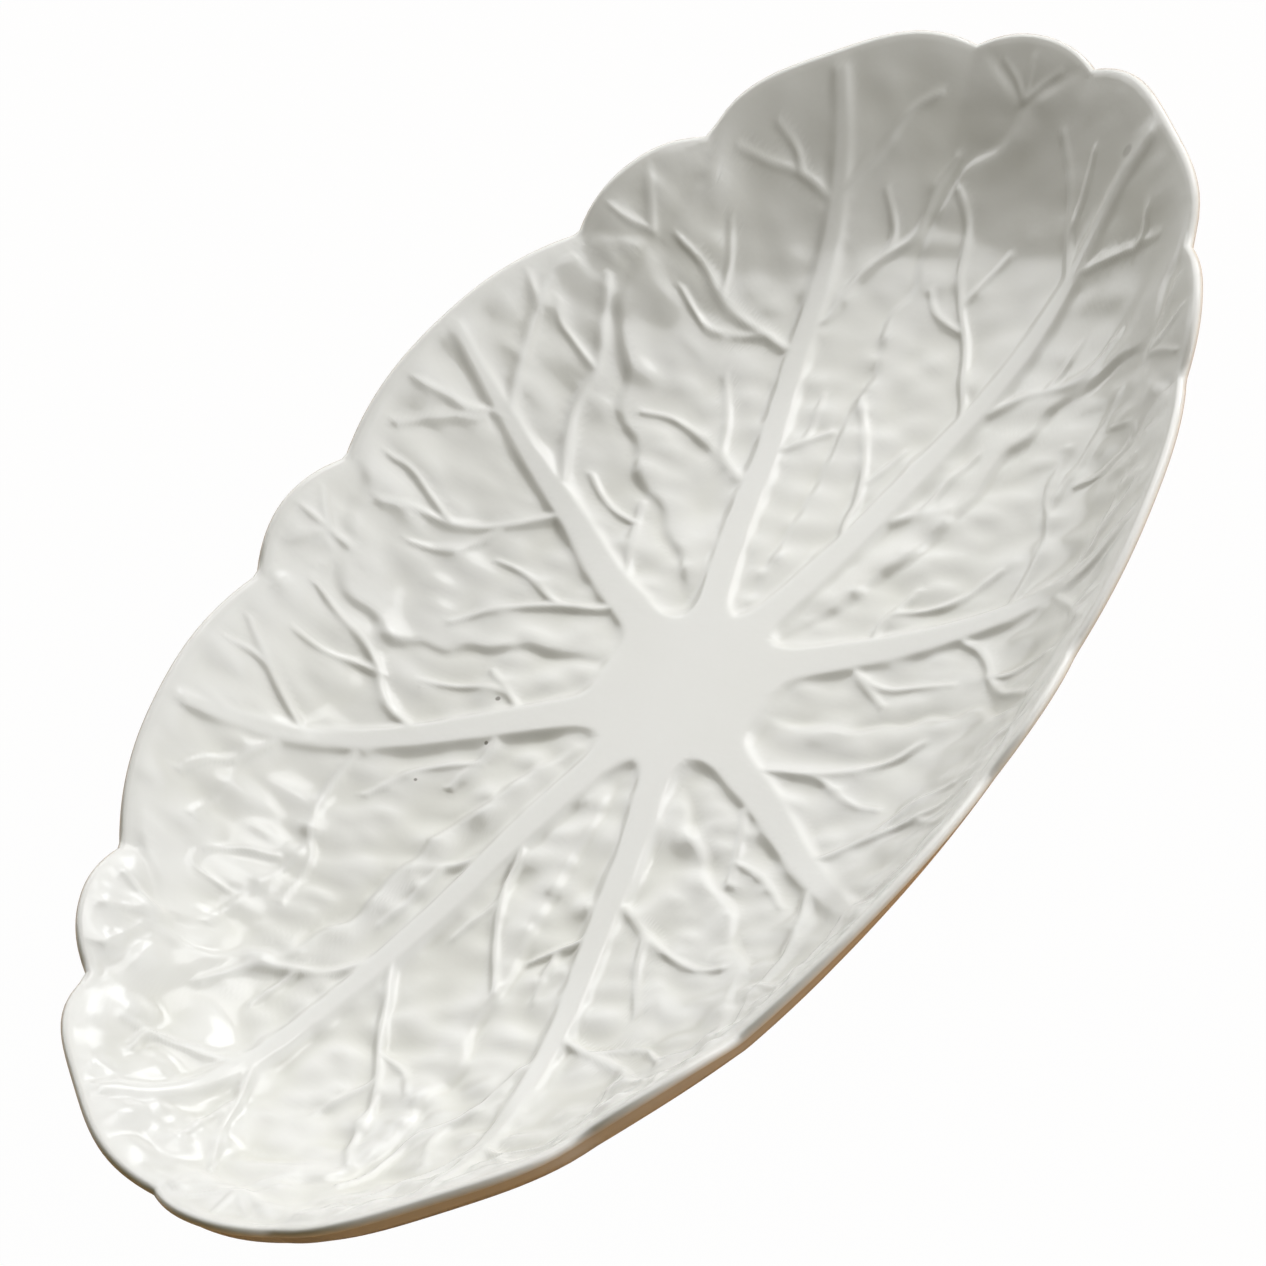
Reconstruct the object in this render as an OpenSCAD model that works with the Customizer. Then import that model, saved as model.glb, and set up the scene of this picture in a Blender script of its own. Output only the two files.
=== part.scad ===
// Oval fish platter with a face of overlapping cabbage leaves.
// Sizes are in millimetres. X is the long way, Z is up, and Z = 0 is the table.

/* [Overall] */
// Length over the two end lobes
length = 542; // [400:1:700]
// Width over the two side lobes
width = 304; // [230:1:390]
// Height of the face's flat centre above the table
centre_height = 12; // [10:0.5:18]
// Height of the rim's notches above the flat centre, at the middle of a long side
side_rise = 38.6; // [28:0.1:50]
// How much higher the notches are at the two ends
end_lift = 5.6; // [0:0.1:10]
// How far the highest leaf tips rise above the notches beside them
tip_lift = 7.6; // [3:0.1:12]
// Thickness of the clay wall
wall = 6; // [4:0.5:8]

/* [Leaves] */
// How far the veins stand above the leaf between them
vein_height = 2; // [0.8:0.1:3]
// Half the width of a midrib where it leaves the flat centre
midrib_start = 6.5; // [4:0.25:8]
// Half the width of a midrib where it reaches the rim
midrib_end = 1.5; // [1:0.25:3]
// Half the width of a side vein at its foot
vein_half = 3; // [2:0.25:4]
// Step where the edge of one leaf lies over the next leaf
overlap = 1.3; // [0.5:0.1:2]
// How far a small leaf lies below the edges of the two big ones it shows between
tuck = 0.8; // [0.3:0.1:2]
// How far a leaf swells up between its side veins
swell = 0.2; // [0:0.1:1.2]

/* [Foot] */
// Height of the foot ring
foot_height = 5; // [4.5:0.5:7]
// Half the length of the foot ring, outside
foot_half_length = 147; // [120:1:165]
// Half the width of the foot ring, outside
foot_half_width = 79; // [66:1:90]
// Thickness of the foot ring from outside to inside
foot_thick = 8; // [6:0.5:12]
// Chamfer on the two standing edges of the foot ring
foot_chamfer = 1.2; // [0.5:0.1:2]

/* [Glaze] */
// Thickness of the glaze coat
glaze = 0.4; // [0.2:0.05:0.8]

/* [Hidden] */

// Helpers for points
function mix(a, b, f) = a + (b - a) * f;
function unit(v) = v / norm(v);
function right_of(d) = unit([d[1], -d[0]]);
function turned(list) = [for (p = list) -p];

// The layout is drawn for a dish of 542 by 304, and stretches with the length and the width.
drawn_size = [542, 304];
function placed(p) = [p[0] * length / drawn_size[0], p[1] * width / drawn_size[1]];
function all_round(half) = [for (p = concat(half, turned(half))) placed(p)];

// Rim: notches from the +X end round a half, then the same half turned about Z.
quarter_notches = [[264, 24], [198, 98], [146, 123], [28, 146.5]];
mirrored_notches = [for (i = [3:-1:0]) [-quarter_notches[i][0], quarter_notches[i][1]]];
notch = all_round(concat(quarter_notches, mirrored_notches));
// Lobe i ends at notch i. Even lobes are the small leaves, odd lobes the big ones.
bulge = [7, 13, 6, 9.5, 5.5, 9.5, 6, 13];
fullness = [2.2, 3.6, 2.2, 2.3, 2, 2.3, 2.2, 3.6];
function rim(i, f) =
    let (a = notch[(i + 15) % 16], b = notch[i % 16])
    mix(a, b, f) + right_of(b - a) * bulge[i % 8] * lobe(i, f);
function lobe(i, f) = 1 - pow(abs(2 * f - 1), fullness[i % 8]);
// Heights of the notches, and how much of the lift each lobe takes
notch_share = [1, 0.8, 0, 0, 0, 0, 0.8, 1];
lift_share = [0.5, 1, 0.9, 1, 0.8, 1, 0.9, 1];
function rim_rise(i, f) =
    side_rise + end_lift * mix(notch_share[(i + 7) % 8], notch_share[i % 8], f)
    + tip_lift * lift_share[i % 8] * lobe(i, f);

// Dish: a flat centre that curves up to the rim. Edge is the rim's plan position and rise on this column.
oval_half = [270 * length / drawn_size[0], 147 * width / drawn_size[1]];
flat_part = 0.19;
function oval_reach(p) = norm([p[0] / oval_half[0], p[1] / oval_half[1]]);
// The face meets the rounded lip a little inside the rim, and below its top.
lip_inset = [4, 2, 0];
lip_round = 1.2;
function lip_reach(edge) = oval_reach(edge) * (1 - lip_inset[0] / norm([edge[0], edge[1]]));
function climb(p, edge) = min(1, max(0, (oval_reach(p) - flat_part) / (lip_reach(edge) - flat_part)));
function dish(p, edge) = centre_height + (edge[2] - lip_round) * pow(climb(p, edge), 4);
function steepness(p, edge) =
    let (q = p * 1.01)
    (dish(q, edge) - dish(p, edge)) / norm(q - p);

// Leaves: where each midrib leaves the centre, then where its three pairs of side veins leave it.
midrib_root = all_round([[40, 12.5], [22, 34], [-21, 33], [-40, 12.5]]);
midrib_share = [0.75, 0.95, 1, 0.8];
vein_at = [[0.27, 0.55, 0.8], [0.11, 0.49, 0.765], [0.145, 0.475, 0.72], [0.2, 0.47, 0.757]];
// Valleys: valley i is between leaf i - 1 and leaf i. It starts at the centre, bows to one side, and
// ends in the corner of a small leaf. The leaf on top is the one before it (-1) or after it (1).
valley_root = all_round([[34, 0], [28, 18], [0, 35], [-28, 18]]);
valley_corner = all_round([[250, 0], [162, 103], [-2, 133], [-157, 101]]);
valley_bow = all_round([[0, 15], [-11, 17], [-14, 0], [-9, -16]]);
leaf_on_top = [-1, -1, -1, 1];
// Where the side veins end along a valley, as a part of the way to the corner
vein_end = [0.5, 0.9];
// How the leaf edge wavers along a valley, row by row
waver = [0, 0, 0.8, 1.2, 1.6, -2, 1, 1.4, 1.8, 0, 0, 0, 0, 0];

// Columns of a leaf, from the midrib to the valley: 0 crown, 1 shoulder, 2 foot of the midrib,
// 3 and 4 panel, 5 notch, 6 and 7 small leaf.
last_column = 7;
across = [0, 0, 0, 0.5, 0.8, 0.93, 0.97, 1];
bow_share = [0, 0, 0, 0.15, 0.5, 1, 1, 1];
from_valley = [0, 0, 0, 0, 0, 8, 3.6, 0.8];
root_share = [0, 0, 0, 0.3, 0.55, 0.75, 0.9, 1];
lobe_share = [0, 0, 0, 0.36, 0.7, 1, 0.17, 0.39];
flank = 1.8;

// Rows of the face run out from the centre. Then the lip, then the underside.
face_rows = 13;
lip_row = face_rows + 1;
rim_row = face_rows + 3;
under_share = [0.92, 0.8];
last_row = rim_row + 3;
crest_rows = [3, 7, 11];
between_rows = [5, 9];
corner_row = 9;

function valley_of(leaf, side) = (side > 0 ? leaf + 1 : leaf) % 8;
function toward_leaf(leaf, side) =
    let (v = valley_of(leaf, side))
    right_of(valley_corner[v] - valley_root[v]) * side;
function midrib_right(leaf) = right_of(rim(2 * leaf + 1, 0.5) - midrib_root[leaf]);

// Where a column meets the rim: the lobe it is on and how far along that lobe
function column_lobe(leaf, side, c) =
    let (
        lobe = 2 * leaf + 1,
        chord = norm(notch[lobe % 16] - notch[lobe - 1]),
        shoulder = [0, midrib_end, midrib_end + flank]
    )
    c <= 2 ? [lobe, 0.5 + side * shoulder[c] / chord]
    : c <= 5 ? [lobe, 0.5 + side * lobe_share[c] / 2]
    : side > 0 ? [lobe + 1, lobe_share[c]] : [lobe - 1, 1 - lobe_share[c]];
function column_end(leaf, side, c) =
    let (place = column_lobe(leaf, side, c))
    rim(place[0], place[1]);
function column_edge(leaf, side, c) =
    let (place = column_lobe(leaf, side, c), p = rim(place[0], place[1]))
    [p[0], p[1], rim_rise(place[0], place[1])];

// Where a column starts at the flat centre. A panel's inner end is rounded like a U.
function column_start(leaf, side, c) =
    let (
        root = midrib_root[leaf],
        out = -side * midrib_right(leaf),
        shoulder = midrib_start * midrib_share[leaf % 4],
        foot = root + out * (shoulder + flank),
        valley = valley_root[valley_of(leaf, side)] + toward_leaf(leaf, side) * from_valley[last_column],
        swing = atan2(foot[0] * valley[1] - foot[1] * valley[0], foot * valley),
        f = root_share[c],
        reach = mix(norm(valley), norm(foot), pow(1 - f, 1.5)),
        aim = atan2(foot[1], foot[0]) + swing * f
    )
    c == 0 ? root
    : c == 1 ? root + out * shoulder
    : c == 2 ? foot
    : reach * [cos(aim), sin(aim)];

// Part of a valley's way at which its corner is
function corner_part(leaf, side) =
    let (
        v = valley_of(leaf, side),
        inner = norm(valley_corner[v] - valley_root[v]),
        outer = norm(rim(2 * v, 0.5) - valley_corner[v])
    )
    inner / (inner + outer);

// How far along its column each row is, 0 at the centre and 1 at the rim
function midrib_rows(leaf, long) =
    let (v = vein_at[leaf % 4], e = vein_half / long, edge = 1 - lip_inset[0] / long)
    [
        0, 2.5 / long, v[0] - e, v[0], v[0] + e, (v[0] + v[1]) / 2, v[1] - e, v[1], v[1] + e,
        (v[1] + v[2]) / 2, v[2] - e, v[2], min(v[2] + e, edge - 0.02), mix(v[2] + e, edge, 0.55)
    ];
function valley_rows(corner, long) =
    let (
        a = vein_end[0] * corner,
        b = vein_end[1] * corner,
        e = vein_half / long,
        edge = 1 - lip_inset[0] / long
    )
    [
        0, 2.5 / long, a - e, a, a + e, (a + b) / 2, b - e, b, b + e * 0.8, corner + e * 0.4,
        mix(corner, edge, 0.35), mix(corner, edge, 0.52), mix(corner, edge, 0.7), mix(corner, edge, 0.86)
    ];
function way(leaf, side, c, row, long, corner) =
    row > face_rows ? 1 - lip_inset[row - lip_row] / long
    : mix(midrib_rows(leaf, long)[row], valley_rows(corner, long)[row], across[c]);

// Plan position of a row on a column
function plan(leaf, side, c, row) =
    let (
        a = column_start(leaf, side, c),
        b = column_end(leaf, side, c),
        v = valley_of(leaf, side),
        corner = corner_part(leaf, side),
        t = way(leaf, side, c, row, norm(b - a), corner),
        lateral = toward_leaf(leaf, side),
        knee = valley_corner[v] + lateral * from_valley[c],
        inner = t / corner
    )
    c < 5 ? mix(a, b, t) + valley_bow[v] * bow_share[c] * sin(180 * pow(t, 1.5))
    : t > corner ? mix(knee, b, (t - corner) / (1 - corner))
    : mix(a, knee, inner) + valley_bow[v] * sin(180 * pow(inner, 1.5))
        + lateral * side * (row > face_rows ? 0 : waver[row]);

// Height of the relief above the smooth dish
vein_share = [0, 0, 1, 0.9, 0.65, 0.25, 0, 0];
swell_share = [0, 0, 0, 0.8, 1, 0.5, 0, 0];
step_share = [0, 0, 0, 0, 0.2, 0.6, 0.9, 1];
function is_crest(row) = len(search(row, crest_rows)) > 0;
function is_between(row) = len(search(row, between_rows)) > 0;
crown = 0.3;
rim_fade = 0.5;
function fade(row) = 1 - rim_fade * row / face_rows;
// Flats between the rows lie above the hollow of the dish, so the rows sit a little below it.
flat_drop = 0.8;
full_drop_row = 8;
function sink(row) = flat_drop * min(1, row / full_drop_row);
function on_top(leaf, side) = leaf_on_top[valley_of(leaf, side) % 4] == -side;
function relief(leaf, side, c, row) =
    row == 0 ? 0
    : row > face_rows ? 0
    : c == 0 ? crown * fade(row) - sink(row)
    : c == 1 ? -sink(row)
    : row > corner_row && c > 5 ? -vein_height * fade(row) - tuck
    : -vein_height * fade(row) - sink(row)
        + (is_crest(row) ? vein_height * fade(row) * vein_share[c] : 0)
        + (is_between(row) ? swell * swell_share[c] : 0)
        + (on_top(leaf, side) && row > 1 && row <= corner_row ? overlap * step_share[c] : 0);

// Points of one column, from the centre out over the lip and back to the foot
lip_lift = [0, lip_round, lip_round - 3];
function column(leaf, side, c) =
    let (
        edge = column_edge(leaf, side, c),
        rim_point = [edge[0], edge[1]],
        bearing = unit([edge[0] / oval_half[0], edge[1] / oval_half[1]])
    )
    [
        for (row = [0:rim_row])
            let (p = plan(leaf, side, c, row), lip = max(0, row - lip_row))
            [p[0], p[1], dish(p, edge) + relief(leaf, side, c, row) + lip_lift[lip]],
        for (m = under_share)
            let (p = rim_point * m, thick = (wall + flat_drop) * sqrt(1 + pow(steepness(p, edge), 2)))
            [p[0], p[1], max(dish(p, edge) - thick, foot_height + 1)],
        [bearing[0] * (foot_half_length + 5), bearing[1] * (foot_half_width + 5), foot_height]
    ];
columns = [
    for (leaf = [0:7]) each concat(
        [for (c = [last_column:-1:1]) column(leaf, -1, c)],
        [for (c = [0:last_column]) column(leaf, 1, c)]
    )
];
around = len(columns);

// The same points moved out square to the surface by the glaze
function square_to(j, row) =
    let (
        before = columns[(j + around - 1) % around],
        after = columns[(j + 1) % around],
        out = columns[j][min(row + 1, last_row)] - columns[j][max(row - 1, 0)]
    )
    unit(cross(out, after[row] - before[row]));
coated = [
    for (j = [0:around - 1]) [for (row = [0:last_row]) columns[j][row] + glaze * square_to(j, row)]
];

// Faces of a strip of rows, as triangles
function spot(j, row, first, count) = (j % around) * count + row - first;
function strip(first, last, start, flip) =
    let (count = last - first + 1)
    [
        for (j = [0:around - 1])
            for (row = [first:last - 1])
                let (
                    a = start + spot(j, row, first, count),
                    b = start + spot(j + 1, row, first, count),
                    c = start + spot(j + 1, row + 1, first, count),
                    d = start + spot(j, row + 1, first, count)
                )
                each flip ? [[a, c, b], [a, d, c]] : [[a, b, c], [a, c, d]]
    ];
function fan(hub, row, first, last, start, flip) =
    let (count = last - first + 1)
    [
        for (j = [0:around - 1])
            let (a = start + spot(j, row, first, count), b = start + spot(j + 1, row, first, count))
            flip ? [hub, a, b] : [hub, b, a]
    ];
function seam(row, first, last, start, flip) =
    let (count = last - first + 1)
    [
        for (j = [0:around - 1])
            let (
                a = spot(j, row, first, count),
                b = spot(j + 1, row, first, count),
                c = start + b,
                d = start + a
            )
            each flip ? [[a, c, b], [a, d, c]] : [[a, b, c], [a, c, d]]
    ];
function points_of(list, first, last) = [for (c = list) for (row = [first:last]) c[row]];

// Foot: an oval of four arcs, the sides and the ends, which meet smoothly
function end_radius(half_length, half_width) = half_width * half_width / half_length * 1.15;
module oval(half_length, half_width) {
    r = end_radius(half_length, half_width);
    centre = half_length - r;
    drop = (centre * centre - pow(half_width - r, 2)) / (2 * (half_width - r));
    side_radius = half_width + drop;
    meet = centre * side_radius / (side_radius - r);
    for (x = [-1, 1]) translate([x * centre, 0]) circle(r = r, $fn = 0);
    intersection() {
        translate([0, -drop]) circle(r = side_radius, $fn = 0);
        translate([0, drop]) circle(r = side_radius, $fn = 0);
        square([2 * meet, 2 * half_width + 2], center = true);
    }
}
module oval_ring(outer_inset, inner_inset) {
    difference() {
        oval(foot_half_length - outer_inset, foot_half_width - outer_inset);
        oval(foot_half_length - inner_inset, foot_half_width - inner_inset);
    }
}

module clay_body() {
    count = last_row + 1;
    hubs = around * count;
    color("wheat") polyhedron(
        points = concat(
            points_of(columns, 0, last_row), [[0, 0, centre_height], [0, 0, foot_height]]
        ),
        faces = concat(
            fan(hubs, 0, 0, last_row, 0, false),
            strip(0, last_row, 0, false),
            fan(hubs + 1, last_row, 0, last_row, 0, true)
        )
    );
}

module foot_ring() {
    color("burlywood") {
        translate([0, 0, foot_chamfer]) linear_extrude(foot_height - foot_chamfer)
            oval_ring(0, foot_thick);
        linear_extrude(foot_chamfer) oval_ring(foot_chamfer, foot_thick - foot_chamfer);
    }
}

module face_glaze() {
    count = rim_row + 1;
    start = around * count;
    hubs = 2 * start;
    color("ivory") polyhedron(
        points = concat(
            points_of(columns, 0, rim_row),
            points_of(coated, 0, rim_row),
            [[0, 0, centre_height], [0, 0, centre_height + glaze]]
        ),
        faces = concat(
            fan(hubs, 0, 0, rim_row, 0, true),
            strip(0, rim_row, 0, true),
            fan(hubs + 1, 0, 0, rim_row, start, false),
            strip(0, rim_row, start, false),
            seam(rim_row, 0, rim_row, start, true)
        )
    );
}

module back_glaze() {
    count = last_row - rim_row + 1;
    start = around * count;
    color("floralwhite") polyhedron(
        points = concat(points_of(columns, rim_row, last_row), points_of(coated, rim_row, last_row)),
        faces = concat(
            strip(rim_row, last_row, 0, true),
            strip(rim_row, last_row, start, false),
            seam(rim_row, rim_row, last_row, start, false),
            seam(last_row, rim_row, last_row, start, true)
        )
    );
}

module well_glaze() {
    color("seashell") translate([0, 0, foot_height - glaze]) linear_extrude(glaze)
        oval(foot_half_length - foot_thick, foot_half_width - foot_thick);
}

clay_body();
foot_ring();
face_glaze();
back_glaze();
well_glaze();
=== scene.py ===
# Fish platter: a glazed dish of overlapping cabbage leaves on a bare clay foot ring
import math
from types import SimpleNamespace
import bmesh
import bpy
import numpy as np
from mathutils import Matrix, Vector
from mathutils.kdtree import KDTree


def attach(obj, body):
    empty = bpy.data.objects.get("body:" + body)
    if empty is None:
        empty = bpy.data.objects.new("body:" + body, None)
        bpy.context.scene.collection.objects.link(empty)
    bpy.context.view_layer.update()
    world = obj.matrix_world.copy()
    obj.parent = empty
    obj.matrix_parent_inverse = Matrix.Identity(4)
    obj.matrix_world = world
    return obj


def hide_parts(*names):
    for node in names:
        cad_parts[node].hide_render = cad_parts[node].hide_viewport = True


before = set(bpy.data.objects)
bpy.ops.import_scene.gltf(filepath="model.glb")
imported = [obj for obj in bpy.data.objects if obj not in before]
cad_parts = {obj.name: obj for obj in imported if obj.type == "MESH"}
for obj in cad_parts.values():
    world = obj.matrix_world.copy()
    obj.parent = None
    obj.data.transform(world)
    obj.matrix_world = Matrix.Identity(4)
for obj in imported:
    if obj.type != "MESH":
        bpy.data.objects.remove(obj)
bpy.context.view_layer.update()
print("frame loaded:", sorted(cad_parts))

mm = 0.001   # the dish is drawn in mm and ends up in metres


# A node's socket that can be used in sums
class Wire:
    def __init__(self, bench, socket):
        self.bench = bench
        self.socket = socket

    # Another output of the same node
    def outlet(self, name):
        return Wire(self.bench, self.socket.node.outputs[name])

    def __add__(self, other):
        return self.bench.math("ADD", self, other)

    def __radd__(self, other):
        return self.bench.math("ADD", other, self)

    def __sub__(self, other):
        return self.bench.math("SUBTRACT", self, other)

    def __rsub__(self, other):
        return self.bench.math("SUBTRACT", other, self)

    def __mul__(self, other):
        return self.bench.math("MULTIPLY", self, other)

    def __rmul__(self, other):
        return self.bench.math("MULTIPLY", other, self)

    def __truediv__(self, other):
        return self.bench.math("DIVIDE", self, other)

    def __rtruediv__(self, other):
        return self.bench.math("DIVIDE", other, self)


# Puts nodes into a shader tree or a geometry tree
class Bench:
    def __init__(self, tree):
        self.tree = tree

    def put(self, kind, settings=None, sockets=None, out=0):
        node = self.tree.nodes.new(kind)
        for name, value in (settings or {}).items():
            setattr(node, name, value)
        for key, value in (sockets or {}).items():
            for item in value if isinstance(value, list) else [value]:
                if isinstance(item, Wire):
                    self.tree.links.new(item.socket, node.inputs[key])
                else:
                    node.inputs[key].default_value = item
        return Wire(self, node.outputs[out]) if len(node.outputs) else None

    def math(self, operation, first, second=0.0, third=0.0):
        return self.put("ShaderNodeMath", {"operation": operation}, {0: first, 1: second, 2: third})

    def vector(self, operation, first, second=(0, 0, 0), out=0):
        return self.put("ShaderNodeVectorMath", {"operation": operation}, {0: first, 1: second}, out)

    def scaled(self, vector, scale):
        return self.put("ShaderNodeVectorMath", {"operation": "SCALE"}, {0: vector, "Scale": scale})

    # 0 before start, 1 after end, with a soft turn between them
    def ease(self, value, start, end):
        sockets = {0: value, 1: start, 2: end}
        return self.put("ShaderNodeMapRange", {"interpolation_type": "SMOOTHSTEP"}, sockets)

    # The same, up to most in place of 1
    def easeTo(self, value, start, end, most):
        return self.ease(value, start, end) * most

    def blend(self, share, first, second):
        return self.put("ShaderNodeMix", {"data_type": "RGBA"}, {0: share, 6: first, 7: second}, 2)

    def noise(self, place, scale, detail):
        return self.put("ShaderNodeTexNoise", {}, {"Vector": place, "Scale": scale, "Detail": detail})

    def bump(self, height, strength, distance):
        return self.put("ShaderNodeBump", {}, {"Strength": strength, "Distance": distance, "Height": height})


# The same soft turn for plain numbers
def ease(value, start, end):
    share = np.clip((value - start) / (end - start), 0, 1)
    return share * share * (3 - 2 * share)


def mix(first, second, share):
    return first + (second - first) * share


# The larger of two values, with a round turn where they cross
def softMax(first, second, turn):
    return (first + second + np.sqrt((first - second) ** 2 + turn ** 2)) / 2


# The rim: sixteen lobes between notches, in mm, from the far end round by the side.
# A quarter of the notches and half of the lobes are listed, because the rest repeat them.
rimSettings = {
    "notches": [(264, 24), (198, 98), (146, 123), (28, 146.5)],
    "bulge": [7, 13, 6, 9.5, 5.5, 9.5, 6, 13],
    "fullness": [2.2, 3.6, 2.2, 2.3, 2, 2.3, 2.2, 3.6],
    "tipShare": [0.5, 1, 0.9, 1, 0.8, 1, 0.9, 1],   # of tipLift, at the tip of each lobe
    "notchShare": [1, 0.8, 0, 0, 0, 0, 0.8, 1],     # of endLift, at the end of each lobe
    "sideHeight": 50.6,
    "endLift": 5.6,
    "tipLift": 7.6,
    "oval": (270, 147),
    "lipRadius": 1.8,
    "samples": 160,    # on each lobe
    "notchTurn": 12,   # samples on each side that a notch turns over
    "softSpan": 480,   # samples over which the lobes are evened out
}

# The dish between the rim and the foot, in mm, with shares of the way out to the rim
dishSettings = {
    "floor": 12.4,
    "flatShare": 0.19,
    "climb": 4,
    "shoulder": (12.5, 0.7),   # how much the curve is filled out, and from which share
    "cells": (256, 152),
    "lipFade": (0.5, 5, 9),    # in from the lip: none, all, and how much later on the near right
    "fadeTurn": -115,          # the middle of the near right, in degrees
    "fadeSpan": (0.5, 0.9),    # cosines of the turn from there
    "lipSteps": 5,
    "wallShares": [0.985, 0.97, 0.955, 0.94, 0.925, 0.91, 0.89, 0.86, 0.82, 0.77, 0.715, 0.66],
    "lobeSpan": (0.9, 1.0),    # the lobes die away down the wall
    "cornerTops": (52, 59.5),  # rim heights of a side and of a high corner
    "outerSlope": (51, 66),    # degrees at a side and at a high corner
    "sideWall": (6.8, 8.4),    # mm at the same places
    "footWall": 7.8,
    "footSpan": (0.62, 0.8),   # where the foot's wall turns into the side's
    "wallTurn": 1.6,
    "backLevel": 4.6,
    "backTurn": 1,
    "backDrop": 4,             # the wall's curve isn't followed further below the back
    "footOval": (147, 79),
    "footInsets": (-4, 3, 5),
    "capLevel": 5.2,
}


def rimProfile(s):
    half = s["notches"] + [(-x, y) for x, y in reversed(s["notches"])]
    notches = half + [(-x, -y) for x, y in half]
    steps = np.arange(s["samples"]) / s["samples"]
    points = []
    tops = []
    for i, notch in enumerate(notches):
        k = i % len(half)
        start = np.array(notches[i - 1], float)
        side = np.array(notch, float) - start
        outward = np.array([side[1], -side[0]]) / np.hypot(*side)
        lobe = 1 - np.abs(2 * steps - 1) ** s["fullness"][k]
        points.append(start + np.outer(steps, side) + np.outer(lobe * s["bulge"][k], outward))
        notchLift = mix(s["notchShare"][k - 1], s["notchShare"][k], steps)
        tops.append(s["sideHeight"] + s["endLift"] * notchLift + s["tipLift"] * s["tipShare"][k] * lobe)
    points = np.vstack(points)
    ahead = np.roll(points, -1, 0) - np.roll(points, 1, 0)
    outward = np.stack([ahead[:, 1], -ahead[:, 0]], 1)
    outward /= np.linalg.norm(outward, axis=1)[:, None]
    soft = sum(np.roll(outward, k, 0) for k in range(-s["notchTurn"], s["notchTurn"] + 1))
    soft /= np.linalg.norm(soft, axis=1)[:, None]
    return points, soft, np.concatenate(tops)


# Values round a ring, each one the mean of those beside it
def evened(values, span):
    wrapped = np.concatenate([values[-span:], values, values[:span]])
    return np.convolve(wrapped, np.ones(span) / span, "same")[span:-span]


# Every value of the rim that the dish needs, by the turn round the oval
class Rim:
    def __init__(self, s, dish):
        self.oval = np.array(s["oval"], float)
        self.radius = s["lipRadius"]
        points, outward, tops = rimProfile(s)
        reach = np.linalg.norm(points / self.oval, axis=1)
        slant = (points / self.oval ** 2 / reach[:, None] * outward).sum(1)
        fill, start = dish["shoulder"]
        lipClimb = dish["climb"] - fill * (1 - start) ** 2   # how fast the face climbs at the lip
        slope = np.arctan(lipClimb * (tops - dish["floor"]) / (reach - dish["flatShare"]) * slant)
        inner = points - outward * (self.radius * (1 + np.sin(slope)))[:, None]
        turn = np.arctan2(points[:, 1] / self.oval[1], points[:, 0] / self.oval[0]) % (2 * math.pi)
        order = np.argsort(turn)
        self.turn = turn[order]
        columns = {
            "x": points[:, 0],
            "y": points[:, 1],
            "outX": outward[:, 0],
            "outY": outward[:, 1],
            "innerX": inner[:, 0],
            "innerY": inner[:, 1],
            "top": tops,
            "innerTop": tops - self.radius * (1 - np.cos(slope)),
            "slope": slope,
            "softReach": evened(reach, s["softSpan"]),
            "softTop": evened(tops, s["softSpan"]),
        }
        self.columns = {name: column[order] for name, column in columns.items()}

    def at(self, turn):
        flat = turn.ravel() % (2 * math.pi)
        found = {}
        for name, column in self.columns.items():
            found[name] = np.interp(flat, self.turn, column, period=2 * math.pi).reshape(turn.shape)
        return SimpleNamespace(**found)

    # How far out a place is, where the oval is at 1
    def reach(self, x, y):
        return np.hypot(x / self.oval[0], y / self.oval[1])


def faceHeight(reach, innerReach, innerTop, s):
    share = np.clip((reach - s["flatShare"]) / (innerReach - s["flatShare"]), 0, None)
    fill, start = s["shoulder"]
    filled = fill * np.clip(share - start, 0, None) ** 2 * (1 - share)   # the wall climbs straight to the lip
    return s["floor"] + (innerTop - s["floor"]) * (share ** s["climb"] + filled)


# A square of cells drawn out to a round one, so that cells keep much the same size
def roundCells(u, v):
    wide = np.abs(u) >= np.abs(v)
    turnWide = math.pi / 4 * v / np.where(u == 0, 1, u) + np.where(u < 0, math.pi, 0)
    turnTall = math.pi / 2 - math.pi / 4 * u / np.where(v == 0, 1, v) + np.where(v < 0, math.pi, 0)
    return np.where(wide, np.abs(u), np.abs(v)), np.where(wide, turnWide, turnTall)


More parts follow.
